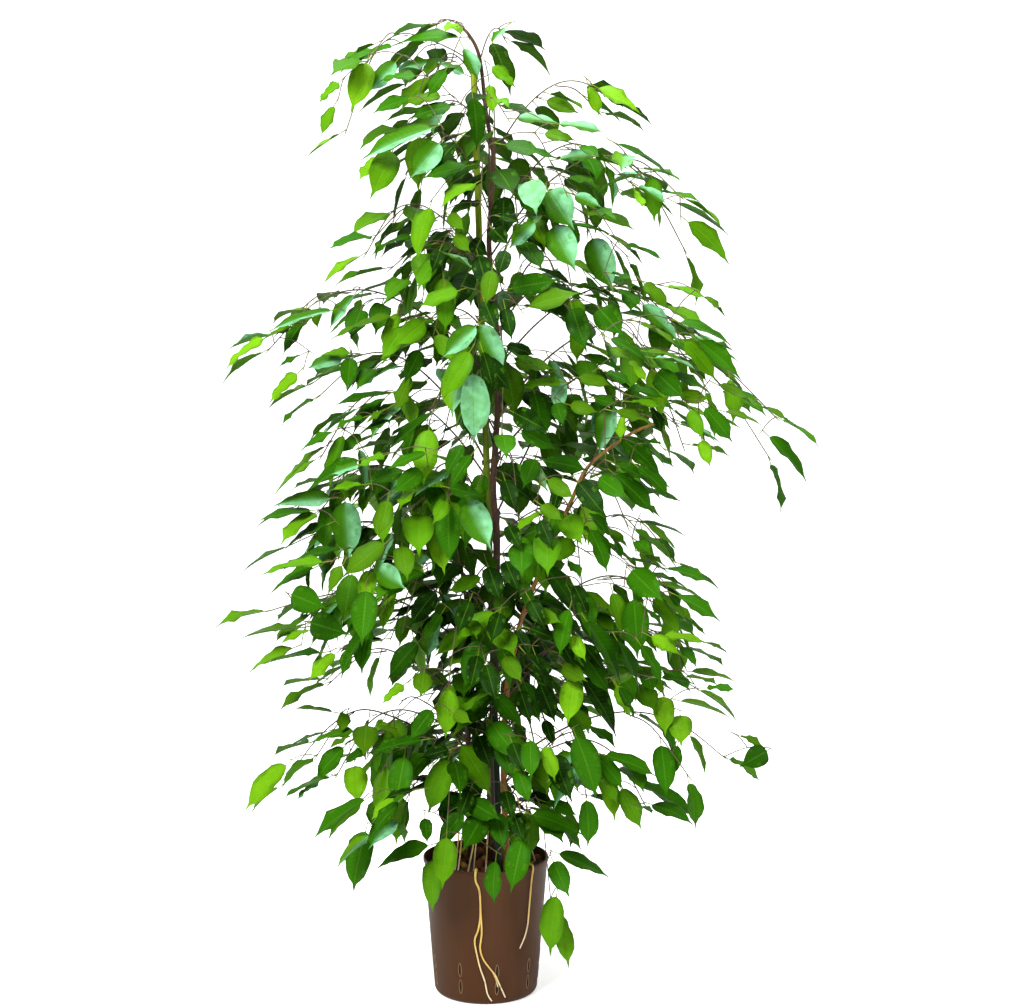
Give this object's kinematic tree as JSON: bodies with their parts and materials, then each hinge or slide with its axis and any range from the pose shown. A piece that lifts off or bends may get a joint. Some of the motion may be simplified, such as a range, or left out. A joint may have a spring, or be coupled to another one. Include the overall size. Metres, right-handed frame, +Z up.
{
  "type": "potted weeping fig",
  "caption": "Weeping fig with arching leafy branches on slender stems and a green cane, in a slotted hydroculture pot of clay granules.",
  "frame": {"origin": "centre of the pot's flat underside, on the surface it stands on", "axes": "+Z up along the pot's axis, -Y the front"},
  "size_m": [0.8492, 0.6224, 1.3893],
  "materials": {
    "pot": "satin",
    "granule": "matte",
    "cane": "satin",
    "bark": "matte",
    "root": "satin",
    "leaf": "satin"
  },
  "bodies": {
    "root": {"pot": "pot", "clay_granules": "granule", "cane": "cane", "main_stem": "bark", "right_stem": "bark", "left_stem": "bark", "hanging_root_front": "root", "hanging_root_right": "root", "branch_01": "leaf", "branch_02": "leaf", "branch_03": "leaf", "branch_04": "leaf", "branch_05": "leaf", "branch_06": "leaf", "branch_07": "leaf", "branch_08": "leaf", "branch_09": "leaf", "branch_10": "leaf", "branch_11": "leaf", "branch_12": "leaf", "branch_13": "leaf", "branch_14": "leaf", "branch_15": "leaf", "branch_16": "leaf", "branch_17": "leaf", "branch_18": "leaf", "branch_19": "leaf", "branch_20": "leaf", "branch_21": "leaf", "branch_22": "leaf", "branch_23": "leaf", "branch_24": "leaf", "branch_25": "leaf", "branch_26": "leaf", "branch_27": "leaf", "branch_28": "leaf", "branch_29": "leaf", "branch_30": "leaf", "branch_31": "leaf", "branch_32": "leaf", "branch_33": "leaf", "branch_34": "leaf", "branch_35": "leaf", "branch_36": "leaf", "branch_37": "leaf", "branch_38": "leaf", "branch_39": "leaf", "branch_40": "leaf", "branch_41": "leaf", "branch_42": "leaf", "branch_43": "leaf", "branch_44": "leaf", "branch_45": "leaf", "branch_46": "leaf", "branch_47": "leaf", "branch_48": "leaf", "branch_49": "leaf", "branch_50": "leaf"}
  },
  "joints": []
}
